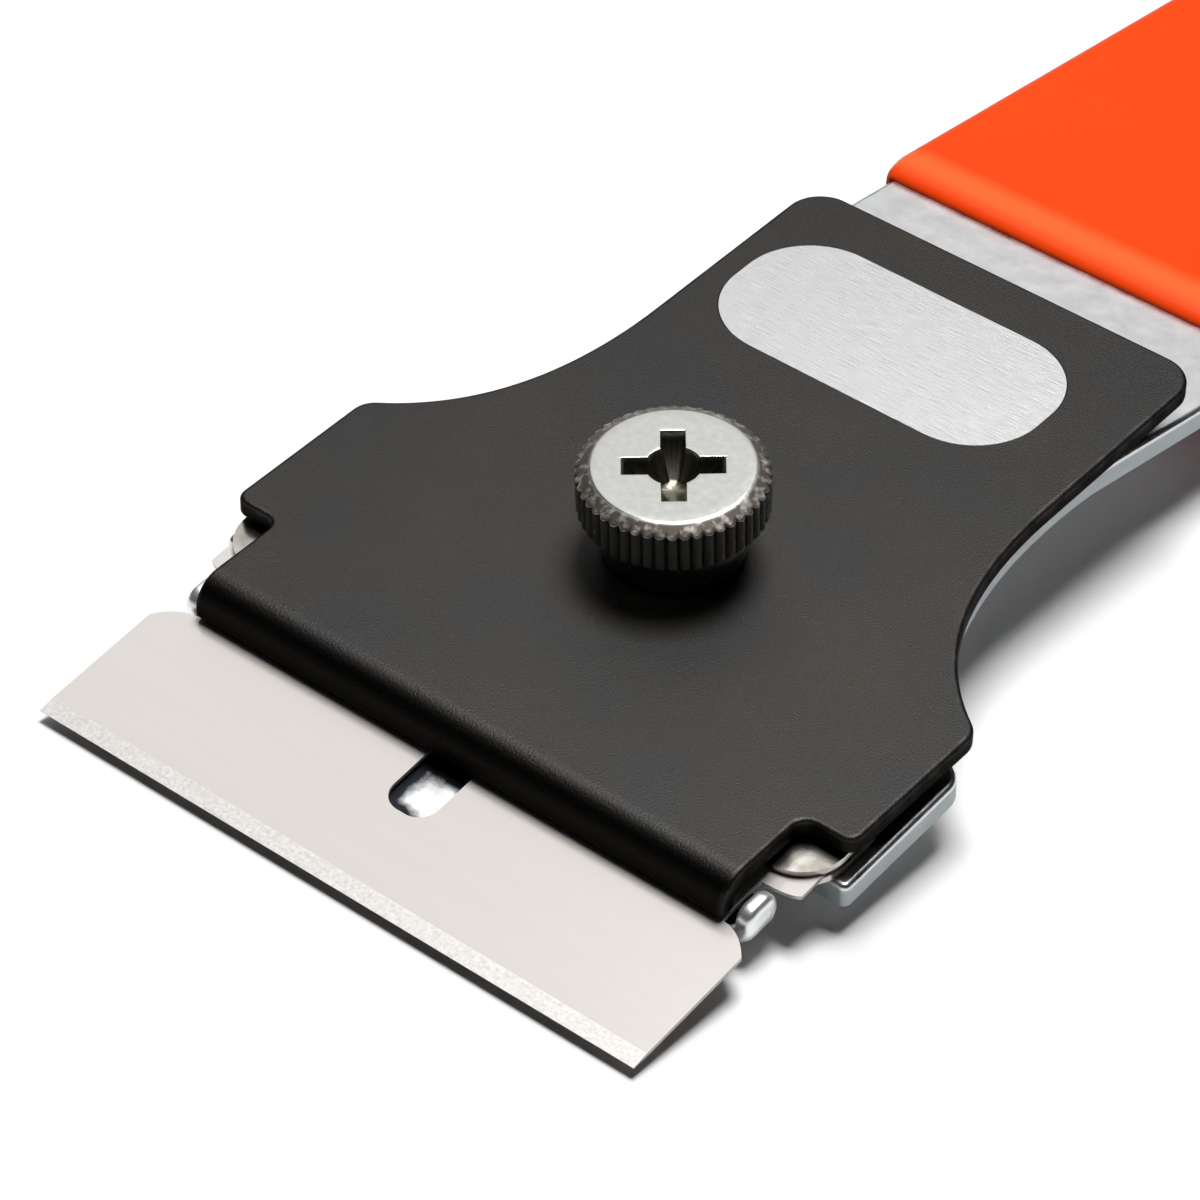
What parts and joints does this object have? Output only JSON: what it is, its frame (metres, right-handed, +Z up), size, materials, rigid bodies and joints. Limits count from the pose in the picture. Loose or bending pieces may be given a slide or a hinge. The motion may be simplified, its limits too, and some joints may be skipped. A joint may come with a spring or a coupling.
{
  "type": "mini scraper",
  "caption": "Small hand scraper: a cranked steel strip with a dipped vinyl grip holds a single-edge blade under a black clamp plate, tightened by a knurled thumb screw.",
  "frame": {"origin": "on the bench under the middle of the part's length and width", "axes": "+Y from the cutting edge to the end of the grip, +Z up from the bench, +X across the blade"},
  "size_m": [0.0402, 0.1478, 0.0129],
  "materials": {
    "zinc": "bright zinc plate",
    "turned_zinc": "turned, bright zinc plate",
    "blade_steel": "fine satin",
    "spine_steel": "rolled bright",
    "black_oxide": "satin black",
    "vinyl": "smooth dipped vinyl"
  },
  "bodies": {
    "handle": {"handle_plate": "zinc", "grip": "vinyl", "press_nut": "turned_zinc"},
    "clamp": {"clamp_plate": "black_oxide"},
    "blade": {"blade": "blade_steel", "blade_spine": "spine_steel"},
    "screw": {"thumb_screw": "turned_zinc"}
  },
  "joints": [
    {"name": "clamp_lift", "type": "slide", "parent": "handle", "child": "clamp", "axis": [0, -0.1483, 0.9889], "range_m": [0, 0.0016]},
    {"name": "screw_turn", "type": "hinge", "parent": "clamp", "child": "screw", "pos_m": [0, -0.04701, 0.00475], "axis": [0, -0.1483, 0.9889], "range_deg": [0, 720]},
    {"name": "blade_lift", "type": "slide", "parent": "handle", "child": "blade", "axis": [0, -0.1483, 0.9889], "range_m": [0, 0.00101]}
  ],
  "couplings": [
    {"joint": "screw_turn", "follows": "clamp_lift", "rad_per_m": 7853.9},
    {"joint": "blade_lift", "follows": "clamp_lift", "ratio": 0.625}
  ]
}
